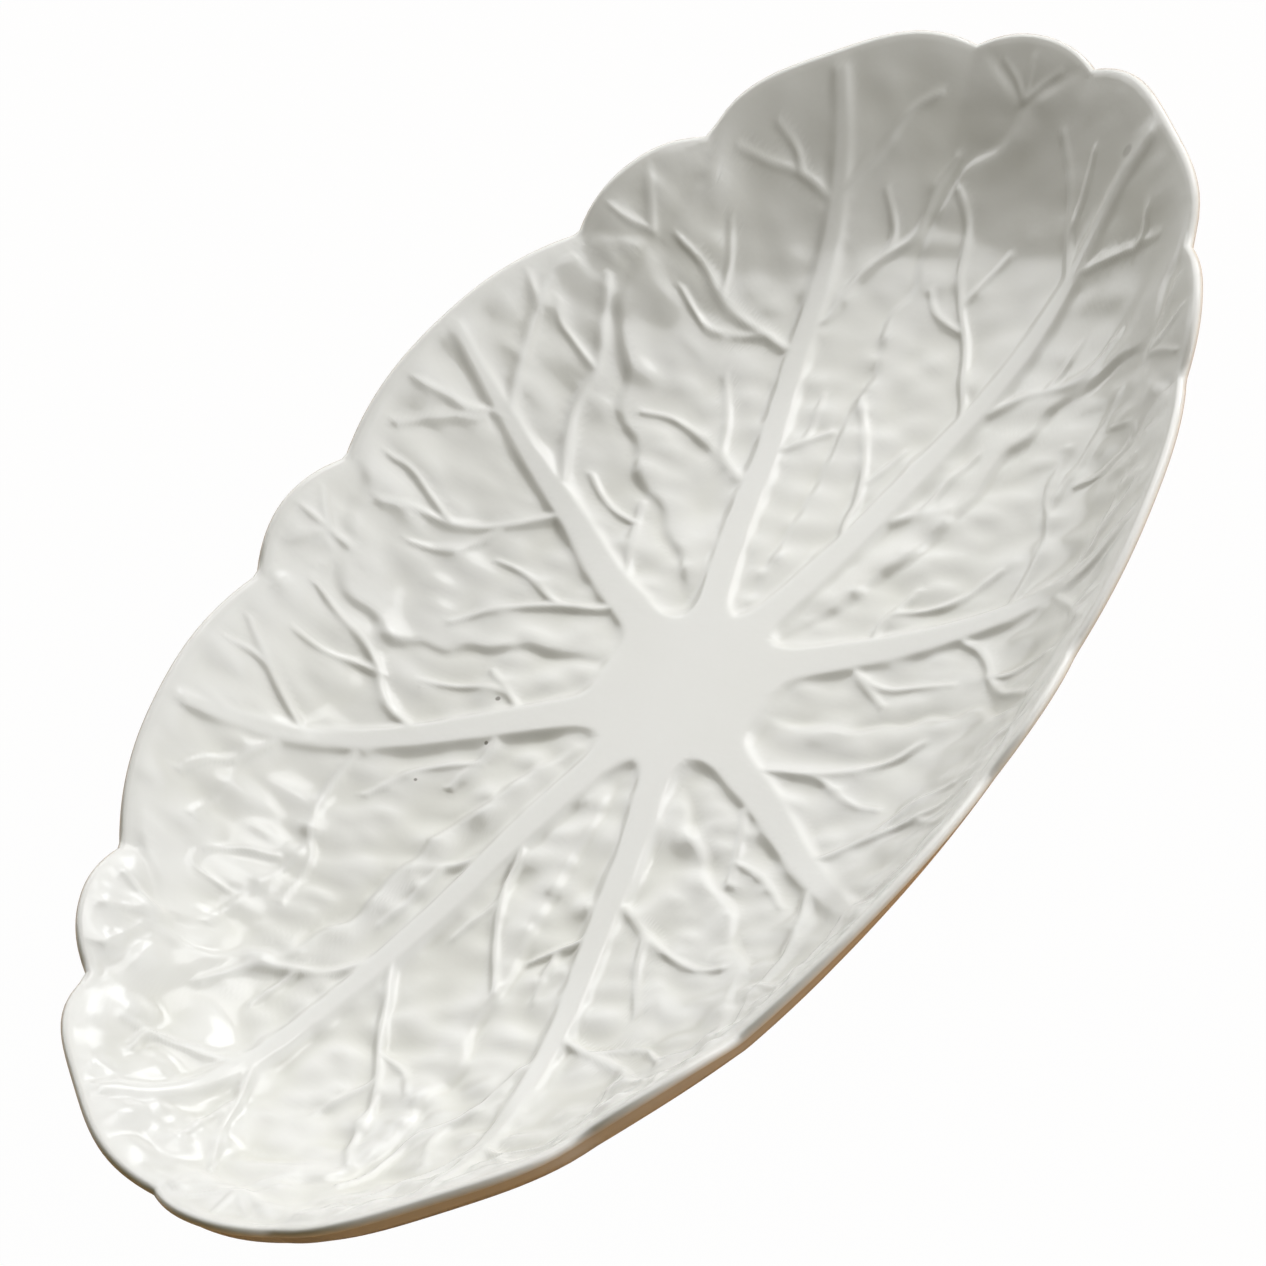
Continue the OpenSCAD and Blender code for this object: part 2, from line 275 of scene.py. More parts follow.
def dishBlank(rim, s):
    across, along = s["cells"]
    v, u = np.meshgrid(np.linspace(-1, 1, along + 1), np.linspace(-1, 1, across + 1))
    share, turn = roundCells(u, v)
    edge = rim.at(turn)
    innerReach = rim.reach(edge.innerX, edge.innerY)
    height = faceHeight(share * innerReach, innerReach, edge.innerTop, s)
    points = [np.stack([share * edge.innerX, share * edge.innerY, height], -1).reshape(-1, 3)]
    # The relief dies away at the lip, over a longer stretch along the near right side
    start, end, more = s["lipFade"]
    run = end + more * ease(np.cos(turn - math.radians(s["fadeTurn"])), *s["fadeSpan"])
    fade = ease((1 - share) * np.hypot(edge.innerX, edge.innerY), start, run).ravel()

    index = np.arange((across + 1) * (along + 1)).reshape(across + 1, along + 1)
    corners = [index[:-1, :-1], index[1:, :-1], index[1:, 1:], index[:-1, 1:]]
    faces = [tuple(face) for face in np.stack(corners, -1).reshape(-1, 4).tolist()]
    last = np.concatenate([index[:-1, 0], index[-1, :-1], index[:0:-1, -1], index[0, :0:-1]])
    rimTurn = turn.ravel()[last][::2]   # the lip and the wall take every other point of the face's edge

    # Joins a new row of points to the last one
    def addRow(plan, level):
        nonlocal last
        count = sum(len(part) for part in points)
        row = np.arange(count, count + len(plan))
        points.append(np.column_stack([plan, level]))
        step = len(last) // len(row)
        for k in range(len(row)):
            a = int(last[step * k])
            b = int(row[k])
            c = int(row[(k + 1) % len(row)])
            d = int(last[step * (k + 1) % len(last)])
            if step == 1:
                faces.append((a, b, c, d))
            else:
                middle = int(last[step * k + 1])
                faces.append((a, b, middle))
                faces.append((middle, b, c, d))
        last = row

    # The lip is a half round from the face over to the outer wall
    edge = rim.at(rimTurn)
    for k in range(1, s["lipSteps"] + 1):
        over = math.pi / 2 + edge.slope - math.pi * k / s["lipSteps"]
        out = rim.radius * (np.cos(over) - 1)
        plan = np.column_stack([edge.x + out * edge.outX, edge.y + out * edge.outY])
        addRow(plan, edge.top + rim.radius * (np.sin(over) - 1))

    # The outer wall drops straight from the lip, then keeps a wall's thickness under the face.
    # It is steeper and thicker under the high corners.
    circle = np.column_stack([np.cos(rimTurn), np.sin(rimTurn)])
    oval = circle * rim.oval
    outerReach = rim.reach(edge.x, edge.y)
    innerReach = rim.reach(edge.innerX, edge.innerY)
    corner = ease(edge.softTop, *s["cornerTops"])
    sideWall = mix(*s["sideWall"], corner)
    lean = np.radians(mix(*s["outerSlope"], corner))
    for part in s["wallShares"]:
        keep = ease(part, *s["lobeSpan"])
        reach = part * mix(edge.softReach, outerReach, keep)
        face = faceHeight(reach, innerReach, edge.innerTop, s)
        steep = s["climb"] * (face - s["floor"]) / (reach - s["flatShare"]) / np.linalg.norm(oval, axis=1)
        wall = mix(s["footWall"], sideWall, ease(part, *s["footSpan"]))
        under = face - wall * np.sqrt(1 + steep ** 2)
        inset = (1 - part) / np.linalg.norm(oval / rim.oval ** 2, axis=1)
        straight = mix(edge.softTop, edge.top, keep) - rim.radius - inset * np.tan(lean)
        above = softMax(straight, under, s["wallTurn"]) - s["backLevel"]
        level = s["backLevel"] + softMax(np.clip(above, -s["backDrop"], None), 0, s["backTurn"])
        addRow(oval * reach[:, None], level)

    # The back meets the foot ring and is closed inside it
    for inset, level in zip(s["footInsets"], (s["backLevel"], s["backLevel"], s["capLevel"])):
        plan = circle * (np.array(s["footOval"]) - inset)
        addRow(plan, np.full(len(plan), level))
    faces.append(tuple(int(k) for k in last[::-1]))

    placed = np.vstack(points)
    mesh = bpy.data.meshes.new("dishBlank")
    mesh.from_pydata(placed.tolist(), [], faces)
    mesh.update()
    for name, values, rest in (("faceShare", fade, 0), ("rimShare", share.ravel(), 1)):
        held = np.full(len(placed), rest, dtype=np.float32)
        held[:len(values)] = values
        mesh.attributes.new(name, "FLOAT", "POINT").data.foreach_set("value", held)
    return mesh


# The leaf veins on one half of the face, in mm; the other half is the same, half a turn round.
# Each line runs from its root, with a half width at the root and at the tip.
midribs = [
    (6.2, 1.8, [(20, 28), (26, 38), (35, 53), (54, 79.5), (68, 102), (76.5, 115.5), (90, 137.5)]),
    (5, 1.8, [(28, 8), (40, 12), (70, 21), (100, 28), (141.5, 39.5), (169, 45), (198, 51.5), (217, 56.5),
              (236, 63.5)]),
    (6.8, 1.8, [(-15, 22), (-20, 30), (-25, 39), (-37, 60), (-56.5, 90.5), (-71.5, 114.5), (-85.5, 136.5)]),
    (5.4, 1.8, [(-28, 8), (-40, 12), (-72, 21), (-110, 29), (-140.5, 36), (-168, 41.5), (-192.5, 45.5),
                (-223, 52.5), (-237.5, 62)]),
]
sideVeins = [
    # the leaf at the side, towards the far end
    (2.3, 1.4, [(25, 42), (22, 48), (19, 62), (13, 77), (6, 87), (-2, 94)]),
    (2.3, 1.4, [(54, 82), (51, 86), (41, 97.5), (31.5, 112.5), (28.5, 123.5), (22.5, 131.5)]),
    (2, 1.2, [(76, 115), (75.5, 118), (70, 126), (68, 134), (66, 140)]),
    (2.2, 1.4, [(36, 47), (41, 49), (50, 53), (60, 57), (69, 60)]),
    (2.2, 1.4, [(66, 90), (69.5, 91.5), (81.5, 96.5), (94.5, 100), (109.5, 100), (124.5, 104.5), (139, 109)]),
    (2, 1.2, [(78, 115), (80.5, 116), (91, 118.5), (107, 121), (119, 122.5), (130, 122), (137, 119.5)]),
    # the leaf at the far end
    (2.2, 1.4, [(87, 28), (89, 32), (97, 46), (103, 61.5), (104.5, 70.5), (102.5, 79.5)]),
    (2.3, 1.4, [(144, 41), (144.5, 44.5), (147.5, 55.5), (150, 67), (154, 75.5), (160.5, 84.5), (163, 94)]),
    (2, 1.2, [(199, 52), (200, 54.5), (202.5, 65.5), (200.5, 77.5), (199.5, 87.5)]),
    (2.2, 1.4, [(99, 28), (104, 25), (111, 18.5), (118, 11.5)]),
    (2.2, 1.4, [(156, 41), (159.5, 38), (171, 36), (183, 33), (192, 27.5), (199, 22.5), (208.5, 21.5),
                (219.5, 21), (229, 18)]),
    (2, 1.2, [(199, 52), (202.5, 51.5), (210.5, 48.5), (222.5, 43), (236, 38), (245, 30)]),
    # the leaf at the side, towards the near end
    (2.2, 1.4, [(-35, 54), (-40, 52), (-47, 51.5), (-55, 53.5), (-63, 56)]),
    (1.8, 1.1, [(-58, 92), (-62.5, 92.5), (-80.5, 92.5), (-97.5, 88.5), (-108.5, 81.5), (-129, 79)]),
    (2, 1.2, [(-72, 114), (-74.5, 114), (-83, 116.5), (-91, 118.5), (-98, 123), (-107.5, 125.5)]),
    (2.2, 1.4, [(-29, 48), (-25, 53), (-20, 60.5), (-14, 70)]),
    (2.3, 1.4, [(-50, 80), (-46, 84), (-43, 92), (-38, 98.5), (-29.5, 105.5), (-24, 113.5), (-21, 122.5),
                (-17, 131.5)]),
    (2, 1.2, [(-68, 109), (-65.5, 111.5), (-59.5, 120), (-52, 130), (-44, 139)]),
    # the leaf at the near end
    (2.2, 1.4, [(-83, 26), (-88, 31), (-93, 38), (-98, 48)]),
    (2.3, 1.4, [(-135, 37), (-139.5, 40.5), (-147.5, 49), (-152, 60), (-157, 69.5), (-164.5, 74),
                (-173, 77.5)]),
    (2.1, 1.3, [(-195, 47), (-198, 52.5), (-201.5, 65), (-203, 71), (-213.5, 70.5)]),
    (2.2, 1.4, [(-75, 19), (-80, 16), (-92, 14), (-104, 9.5), (-118, 2), (-134, -9)]),
    (2.3, 1.4, [(-130, 33), (-135.5, 31.5), (-150.5, 23.5), (-164.5, 16.5), (-179, 7), (-191, 0.5),
                (-202.5, -3), (-211, -6.5), (-219, -13)]),
    (2.2, 1.4, [(-196, 46.2), (-210, 49), (-223, 52.5), (-237.5, 62)]),
    (2, 1.2, [(-190, 45), (-194.5, 43.5), (-210, 36.5), (-222.5, 32), (-242.5, 20)]),
]
twigs = [
    (1.9, 1.2, [(19.5, 60), (20, 66), (25, 77), (27.5, 86), (27.5, 93)]),
    (1.8, 1.2, [(31.5, 113), (36.5, 122.5), (39.5, 130), (38.5, 136)]),
    (1.8, 1.2, [(40, 98.5), (37, 99.5), (28.5, 103.5), (21.5, 110.5), (17.5, 119.5)]),
    (1.8, 1.2, [(73, 121), (71.5, 121), (64, 128), (56, 134), (49, 139)]),
    (1.8, 1.2, [(60, 57), (62, 66), (66, 74), (73, 83)]),
    (1.7, 1.1, [(109.5, 101.5), (113.5, 110), (116, 115), (122, 118)]),
    (1.6, 1, [(114, 122), (116, 123), (123, 128.5)]),
    (1.8, 1.2, [(96, 43), (99, 45), (109, 49), (118.5, 54.5), (127.5, 60.5)]),
    (1.8, 1.2, [(147.5, 53), (146.5, 55.5), (142.5, 67), (141.5, 74), (145, 81), (149.5, 87.5)]),
    (1.4, 0.9, [(154, 75), (164.5, 77), (178.5, 82)]),
    (1.6, 1, [(202.5, 65.5), (208.5, 70), (212.5, 78)]),
    (1.6, 1, [(111, 18.5), (121, 20), (132, 23)]),
    (1.7, 1.1, [(187, 31), (189, 30), (197.5, 29.5), (204.5, 33), (211, 38)]),
    (1.8, 1.2, [(-50, 52), (-51, 53), (-57, 65), (-63, 72.5), (-70, 76.5), (-77, 81)]),
    (1.4, 0.9, [(-100, 87), (-105.5, 85.5), (-128, 88), (-151, 90)]),
    (1.4, 0.9, [(-113.5, 90.5), (-119.5, 101), (-132, 107), (-135.5, 93.5)]),
    (1.4, 0.9, [(-85, 117), (-89, 117), (-101, 115), (-119, 115)]),
    (1.8, 1.2, [(-21, 59), (-21, 68), (-24, 77), (-27.5, 90)]),
    (1.8, 1.2, [(-32, 102), (-32.5, 110.5), (-35.5, 118.5), (-36, 128.5)]),
    (1.6, 1, [(-54, 127), (-53.5, 133), (-56, 140)]),
    (1.7, 1.1, [(-94, 39), (-108, 41), (-122.5, 45.5)]),
    (1.6, 1, [(-151, 57), (-159, 59.5), (-170.5, 61.5)]),
    (1.6, 1, [(-203, 71), (-204.5, 80)]),
    (1.6, 1, [(-98, 12), (-100, 12.5), (-108, 15.5), (-118, 19)]),
    (1.6, 1, [(-177, 8), (-179, 7.5), (-191, 11.5), (-201.5, 15.5)]),
    (1.7, 1.1, [(-167, 15), (-168.5, 13.5), (-171, 6.5), (-174.5, -1), (-182, -7)]),
    (1.7, 1.1, [(-212, 37), (-224, 37), (-237, 36)]),
    # the small leaves that show between the large ones
    (1.8, 1.2, [(2, 132.5), (2, 139), (2, 146)]),
    (1.4, 0.9, [(2, 137), (-0.5, 139), (-12, 144.5)]),
    (1.4, 0.9, [(2, 138), (6, 140.5), (13, 144.5)]),
    (1.5, 1, [(160, 102), (158, 110), (158.5, 117)]),
    (1.5, 1, [(160, 102), (166, 104.5), (172.5, 107.5), (177.5, 109)]),
    (1.5, 1, [(-159.5, 99.5), (-166, 105), (-171.5, 109.5)]),
    (1.5, 1, [(-159.5, 99.5), (-157.5, 107.5), (-155, 114.5)]),
    (1.5, 1, [(-159.5, 99.5), (-171, 99.5), (-185, 100.5)]),
    (1.3, 0.8, [(250, -1), (256, -0.5), (263, 0)]),
    (1.3, 0.8, [(250, -1), (255, 4), (260, 11)]),
    (1.3, 0.8, [(250, -1), (255, -6), (260, -12)]),
]
# Edges where one leaf lies over the next, drawn with the upper leaf on the left. The widths are step heights.
leafEdges = [
    (1.3, 1.2, [(-0.5, 132.5), (-9.5, 128.5), (-13.5, 123.5), (-13.5, 116.5), (-18.5, 106.5), (-14, 98),
                (-13, 89), (-8, 83), (-6.5, 75), (-1, 65), (-0.5, 55), (2, 44), (2, 35)]),
    (1.3, 1.2, [(158, 100), (150.5, 101.5), (134, 103), (122.5, 97.5), (112.5, 90.5), (100.5, 87.5),
                (96.5, 83.5), (90, 75), (80, 69), (76, 65), (70, 53), (59, 44), (53, 35), (44, 28),
                (38, 22)]),
    (1.2, 1.1, [(249, -2.5), (245, -1), (235.5, 2.5), (231, 8), (228, 12), (221.5, 15), (191, 16),
                (182.5, 13), (169.5, 16.5), (160.5, 15), (150, 10.5), (125, 9.5), (113, 7), (82, 3),
                (57, 1), (38, -3)]),
    (1.3, 1.2, [(-31, 20), (-48, 33), (-66, 40), (-75, 46), (-95, 51), (-105, 54.5), (-123.5, 55.5),
                (-131.5, 61.5), (-145, 64), (-151.5, 73.5), (-158.5, 79), (-162.5, 84), (-163, 92.5),
                (-159.5, 97.5)]),
    (1, 1, [(-4.5, 132.5), (-10.5, 137), (-22, 140), (-36, 145)]),
    (1, 1, [(27, 146), (27, 139), (12.5, 136), (0, 132.5)]),
    (1, 1, [(157, 101), (148.5, 113.5), (142, 123.5)]),
    (1, 1, [(196, 97), (185.5, 92.5), (178.5, 95.5), (167, 97), (157, 101)]),
    (1, 1, [(-130.5, 126.5), (-141.5, 118), (-145.5, 110.5), (-151, 105), (-157.5, 100.5)]),
    (1, 1, [(-160, 98.5), (-167, 97.5), (-177, 95), (-185.5, 93), (-192, 94.5), (-201, 94)]),
    (0.9, 0.9, [(249, -2), (254, 8), (259, 16), (262, 22)]),
    (0.9, 0.9, [(262, -22), (259, -17), (254, -10), (249, -2)]),
]
lineSets = {"Midribs": midribs, "Side Veins": sideVeins, "Twigs": twigs, "Leaf Edges": leafEdges}
# The power by which each set's width tapers, and the run in mm over which its ends die away
lineTapers = {"Midribs": (1.2, 0), "Side Veins": (1.2, 0), "Twigs": (1, 0), "Leaf Edges": (1, 16)}

# Where the cells of the face are split, in mm
refineSettings = {
    "reach": 2.7,         # from a spot on a line
    "spotGap": 1.2,
    "flankMiddle": 1.2,   # from a midrib's edge to the middle of its flank
}


# Half width of a line at a share of its length
def halfWidth(root, tip, share, taper):
    return mix(root, tip, share ** taper)


# Spots along every line and its half turn; a midrib has them on its two flanks
def lineSpots(s):
    spots = []
    for name, lines in lineSets.items():
        sides = (1, -1) if name == "Midribs" else (0,)
        for root, tip, points in lines:
            total = sum(math.dist(a, b) for a, b in zip(points, points[1:]))
            run = 0
            for a, b in zip(points, points[1:]):
                way = np.subtract(b, a)
                left = np.array([-way[1], way[0]])
                length = math.dist(a, b)
                count = math.ceil(length / s["spotGap"])
                for k in range(count):
                    gone = (run + k / count * length) / total
                    out = halfWidth(root, tip, gone, lineTapers[name][0]) + s["flankMiddle"]
                    for side in sides:
                        spot = a + way * (k / count) + left * (out / length) * side
                        spots += [spot, -spot]
                run += length
    return spots


# Cells beside the lines are split in four, so that the veins come out crisp
def refineCells(mesh, s):
    spots = lineSpots(s)
    tree = KDTree(len(spots))
    for k, (x, y) in enumerate(spots):
        tree.insert((x, y, 0), k)
    tree.balance()
    cells = bmesh.new()
    cells.from_mesh(mesh)
    held = cells.verts.layers.float["faceShare"]
    chosen = set()
    for face in cells.faces:
        centre = face.calc_center_median()
        if face.verts[0][held] > 0 and tree.find((centre.x, centre.y, 0))[2] < s["reach"]:
            chosen.update(face.edges)
    edges = [edge for edge in cells.edges if edge in chosen]
    bmesh.ops.subdivide_edges(cells, edges=edges, cuts=1, use_grid_fill=True)
    cells.to_mesh(mesh)
    cells.free()


def drawLines(name, lines, taper, endFade):
    curve = bpy.data.curves.new(name, "CURVE")
    curve.dimensions = "3D"
    for root, tip, points in lines:
        spline = curve.splines.new("BEZIER")
        spline.bezier_points.add(len(points) - 1)
        gone = 0
        lengths = [0]
        for a, b in zip(points, points[1:]):
            gone += math.dist(a, b)
            lengths.append(gone)
        for point, (x, y), run in zip(spline.bezier_points, points, lengths):
            point.co = (x, y, 0)
            point.handle_left_type = "AUTO"
            point.handle_right_type = "AUTO"
            # An end that dies away keeps a little of its height
            dying = ease(min(run, gone - run), -endFade / 3, endFade) if endFade else 1
            point.radius = halfWidth(root, tip, run / gone, taper) * dying
    return bpy.data.objects.new(name, curve)


# Relief of the leaves, in mm: the inputs of its tree
reliefSettings = {
    "Disc Radius": 32.0,
    "Disc Joint": 14.0,
    "Panel Depth": 1.7,
    "Rib Flank": 6.5,
    "Vein Height": 0.68,   # times a vein's half width
    "Vein Flank": 2.3,     # the same
    "Pucker Height": 1.55,
    "Pucker Length": 12.5,
    "Edge Width": 14.0,
    "Edge Groove": 0.25,   # times an edge's step
    "Seed": 3.0,
}

# The rest of the relief's form, in mm and in shares of the way out.
# A span has its start and its end, and a third number where it comes to something other than 1.
reliefForm = {
    "lineGap": 0.8,             # between points on a line
    "crestRound": 1.0,
    "crestShare": 0.3,          # of a vein's half width, level on each side
    "leastFlank": 2.7,          # a thin tip keeps its flanks
    "thinRib": (-2.5, 3.0),     # a thin rib is low and narrow
    "rimRise": (0.5, 1.0, 0.35),
    "lipRise": (0.86, 1.0),
    "veinRound": 0.3,
    "veinClear": (0.2, 1.4, 0.7),
    "seedStep": (37, 11),
    "puckerPress": (1.28, 0.95, 1),   # closer together along the dish
    "swell": (0.5, 0.5),        # middle value and share
    "blister": (0.45, 1.5),     # the same
    "edgeRise": (-2.0, 2.2),
    "edgeBack": 2,
    "groovePlace": 2.2,
    "grooveHalf": 3.5,
    "edgeShare": 0.8,
    "nearHalf": (40.0, -150.0),
    "nearEnd": (-130.0, -230.0, 0.6),
    "farEnd": (110.0, 220.0),
    "puckerShift": (0.2, 0.5),  # more towards the near end, less at the far end
    "pressShift": (0.32, 0.1),  # the same
    "roundSteps": 1,
    "roundWeight": 0.25,
}


def leafRelief(material, form):
    tree = bpy.data.node_groups.new("leafRelief", "GeometryNodeTree")
    tree.is_modifier = True
    tree.interface.new_socket("Geometry", in_out="INPUT", socket_type="NodeSocketGeometry")
    for name in lineSets:
        tree.interface.new_socket(name, in_out="INPUT", socket_type="NodeSocketObject")
    for name, value in reliefSettings.items():
        tree.interface.new_socket(name, in_out="INPUT", socket_type="NodeSocketFloat").default_value = value
    tree.interface.new_socket("Geometry", in_out="OUTPUT", socket_type="NodeSocketGeometry")
    bench = Bench(tree)
    inlets = bench.put("NodeGroupInput").socket.node.outputs
    size = {socket.name: Wire(bench, socket) for socket in inlets if socket.name}

    position = bench.put("GeometryNodeInputPosition")
    plan = bench.vector("MULTIPLY", position, (1, 1, 0))

    def store(geometry, name, value, kind="FLOAT"):
        return bench.put("GeometryNodeStoreNamedAttribute", {"data_type": kind, "domain": "POINT"},
                         {"Geometry": geometry, "Name": name, "Value": value})

    def stored(name, kind="FLOAT"):
        return bench.put("GeometryNodeInputNamedAttribute", {"data_type": kind}, {"Name": name})

    # One set of lines, with its half turn, as plain edges that carry their width and heading
    def lineMesh(name):
        drawn = bench.put("GeometryNodeObjectInfo", {"transform_space": "ORIGINAL"}, {"Object": size[name]},
                          "Geometry")
        turned = bench.put("GeometryNodeTransform", {}, {"Geometry": drawn, "Rotation": (0, 0, math.pi)})
        both = bench.put("GeometryNodeJoinGeometry", {}, {0: [drawn, turned]})
        even = bench.put("GeometryNodeResampleCurve", {"mode": "LENGTH"},
                         {"Curve": both, "Length": form["lineGap"]})
        wide = store(even, "lineWidth", bench.put("GeometryNodeInputRadius"))
        headed = store(wide, "lineHeading", bench.put("GeometryNodeInputTangent"), "FLOAT_VECTOR")
        return bench.put("GeometryNodeCurveToMesh", {}, {"Curve": headed})

    # Distance to the nearest line, the line's width there, and the side of it
    def nearLine(name):
        lines = lineMesh(name)
        nearest = bench.put("GeometryNodeProximity", {"target_element": "EDGES"}, {0: lines, 2: plan})
        pick = bench.put("GeometryNodeSampleNearest", {"domain": "POINT"}, {0: lines, 1: plan})

        def picked(attribute, kind):
            return bench.put("GeometryNodeSampleIndex", {"data_type": kind, "domain": "POINT"},
                             {0: lines, 1: stored(attribute, kind), 2: pick})

        width = picked("lineWidth", "FLOAT")
        left = bench.vector("CROSS_PRODUCT", (0, 0, 1), picked("lineHeading", "FLOAT_VECTOR"))
        offset = bench.vector("SUBTRACT", plan, nearest)
        side = bench.math("SIGN", bench.vector("DOT_PRODUCT", offset, left, 1))
        return nearest.outlet("Distance"), width, side

    # 1 on the crest, then a hollow flank that runs out level
    def flankShare(distance, length):
        gone = bench.math("SMOOTH_MAX", distance, 0.0, form["crestRound"]) / length
        rest = 1 - bench.math("MINIMUM", gone, 1.0)
        return rest * rest * rest

    def ridgeOf(name):
        distance, width = nearLine(name)[:2]
        flank = bench.math("MAXIMUM", width * size["Vein Flank"], form["leastFlank"])
        return flankShare(distance - width * form["crestShare"], flank) * width * size["Vein Height"]

    # The flat disc and the midribs that run out of it
    ribDistance, ribWidth = nearLine("Midribs")[:2]
    disc = bench.vector("LENGTH", plan, out=1) - size["Disc Radius"]
    flank = bench.math("SMOOTH_MIN", disc, ribDistance - ribWidth, size["Disc Joint"])
    strength = bench.ease(ribWidth, *form["thinRib"])
    plateau = flankShare(flank, size["Rib Flank"] * strength) * strength

    # The panels lie below the ribs, less so towards the rim, and come up to the lip
    rimShare = stored("rimShare")
    depth = size["Panel Depth"] * (1 - bench.easeTo(rimShare, *form["rimRise"]))
    sunk = depth * (1 - bench.ease(rimShare, *form["lipRise"]))

    # Side veins and twigs stand on the panels as rounded ridges
    ridge = bench.math("SMOOTH_MAX", ridgeOf("Side Veins"), ridgeOf("Twigs"), form["veinRound"])
    raised = bench.math("SMOOTH_MAX", plateau * depth, ridge, form["veinRound"])

    # Puckers: soft blisters between the veins, longer across the dish than along it
    stepX, stepY = form["seedStep"]
    shifted = bench.put("ShaderNodeCombineXYZ", {}, {0: size["Seed"] * stepX, 1: size["Seed"] * stepY})
    evenPlace = bench.scaled(bench.vector("ADD", plan, shifted), 1 / size["Pucker Length"])
    puckerPlace = bench.vector("MULTIPLY", evenPlace, form["puckerPress"])
    swell = bench.noise(puckerPlace, 1.0, 0.0)
    blister = bench.put("ShaderNodeTexVoronoi", {"feature": "SMOOTH_F1"},
                        {"Vector": puckerPlace, "Scale": 1.0, "Smoothness": 1.0})
    swellMiddle, swellShare = form["swell"]
    blisterMiddle, blisterShare = form["blister"]
    pucker = (swell - swellMiddle) * swellShare + (blisterMiddle - blister) * blisterShare
    panel = (1 - plateau) * (1 - bench.easeTo(ridge, *form["veinClear"]))

    # The upper leaf stands a step above the lower one, and settles back away from its edge
    edgeDistance, edgeStep, edgeSide = nearLine("Leaf Edges")
    signed = edgeDistance * edgeSide
    settled = bench.ease(signed, form["edgeBack"], size["Edge Width"])
    stepUp = bench.ease(signed, *form["edgeRise"]) * (1 - settled)
    fromGroove = bench.math("ABSOLUTE", signed + form["groovePlace"])
    groove = (1 - bench.ease(fromGroove, 0, form["grooveHalf"])) * size["Edge Groove"]
    edges = (stepUp - groove) * edgeStep * (1 - plateau) * form["edgeShare"]

    # The mould is crisper towards the near end
    along = bench.put("ShaderNodeSeparateXYZ", {}, {0: plan})
    nearHalf = bench.ease(along, *form["nearHalf"]) + bench.easeTo(along, *form["nearEnd"])
    farEnd = bench.ease(along, *form["farEnd"])

    def shifts(more, less):
        return 1 + nearHalf * more - farEnd * less

    blistered = pucker * size["Pucker Height"] * panel * shifts(*form["puckerShift"])
    sharp = (raised - sunk + blistered + edges) * stored("faceShare") * shifts(*form["pressShift"])
    # The glaze rounds every edge a little
    relief = bench.put("GeometryNodeBlurAttribute", {"data_type": "FLOAT"},
                       {0: sharp, "Iterations": form["roundSteps"], "Weight": form["roundWeight"]})
    move = bench.scaled(bench.put("GeometryNodeInputNormal"), relief)

    marked = store(size["Geometry"], "reliefHeight", relief)
    pressed = bench.put("GeometryNodeSetPosition", {}, {"Geometry": marked, "Offset": move})
    metres = bench.put("GeometryNodeTransform", {}, {"Geometry": pressed, "Scale": (mm, mm, mm)})
    smooth = bench.put("GeometryNodeSetShadeSmooth", {}, {"Geometry": metres})
    real = bench.put("GeometryNodeRealizeInstances", {}, {"Geometry": smooth})
    glazed = bench.put("GeometryNodeSetMaterial", {}, {"Geometry": real, "Material": material})
    bench.put("NodeGroupOutput", {}, {0: glazed})
    return tree


def newMaterial(name):
    material = bpy.data.materials.new(name)
    material.use_nodes = True
    material.node_tree.nodes.clear()
    return material, Bench(material.node_tree)


def finishMaterial(bench, sockets):
    shader = bench.put("ShaderNodeBsdfPrincipled", {}, sockets)
    bench.put("ShaderNodeOutputMaterial", {}, {"Surface": shader})


# Ivory glaze over cream clay: it pools greyer in the hollows and breaks paler on the ribs.
# A span has its start, its end and what it comes to.
glazeSettings = {
    "ivory": (0.745, 0.746, 0.732, 1),
    "pool": (0.69, 0.69, 0.645, 1),
    "thin": (0.765, 0.767, 0.758, 1),
    "speck": (0.09, 0.07, 0.05, 1),
    "cloud": (22.0, 3.0),           # scale and detail
    "cloudSpan": (0.3, 0.7, 0.35),
    "poolSpan": (-1.0, -3.0, 0.8),  # mm of relief
    "thinSpan": (-0.6, 0.4, 0.7),   # the same
    "pinholes": [(-24, 61.4, 0.9, 0.75), (-42.3, 54.4, 0.7, 0.75), (-64.5, 69, 0.6, 0.75),
                 (234.4, -52.1, 2, 0.25)],   # x, y and radius in mm, and strength
    "pinholeEdge": (1.3, 0.6),      # of the radius
    "ripple": (160.0, 2.0),         # scale and detail
    "rippleStrength": 0.06,
    "rippleHeight": 0.001,
    "roughness": 0.13,
    "roughnessSpread": 0.08,
    "ior": 1.5,
}


def glazeMaterial(name, s, usesRelief):
    material, bench = newMaterial(name)
    place = bench.put("ShaderNodeTexCoord", {}, {}, "Object")
    cloud = bench.noise(place, *s["cloud"])
    base = bench.blend(bench.easeTo(cloud, *s["cloudSpan"]), s["ivory"], s["pool"])
    if usesRelief:
        relief = bench.put("ShaderNodeAttribute", {"attribute_name": "reliefHeight"}, {}, "Fac")
        base = bench.blend(bench.easeTo(relief, *s["poolSpan"]), base, s["pool"])
        base = bench.blend(bench.easeTo(relief, *s["thinSpan"]), base, s["thin"])
        plan = bench.vector("MULTIPLY", place, (1 / mm, 1 / mm, 0))
        outer, inner = s["pinholeEdge"]
        for x, y, radius, strength in s["pinholes"]:
            far = bench.vector("DISTANCE", plan, (x, y, 0), 1)
            speck = bench.easeTo(far, radius * outer, radius * inner, strength)
            base = bench.blend(speck, base, s["speck"])
    ripple = bench.noise(place, *s["ripple"])
    finishMaterial(bench, {
        "Base Color": base,
        "Roughness": s["roughness"] + (cloud - 0.5) * s["roughnessSpread"],
        "IOR": s["ior"],
        "Normal": bench.bump(ripple, s["rippleStrength"], s["rippleHeight"]),
    })
    return material


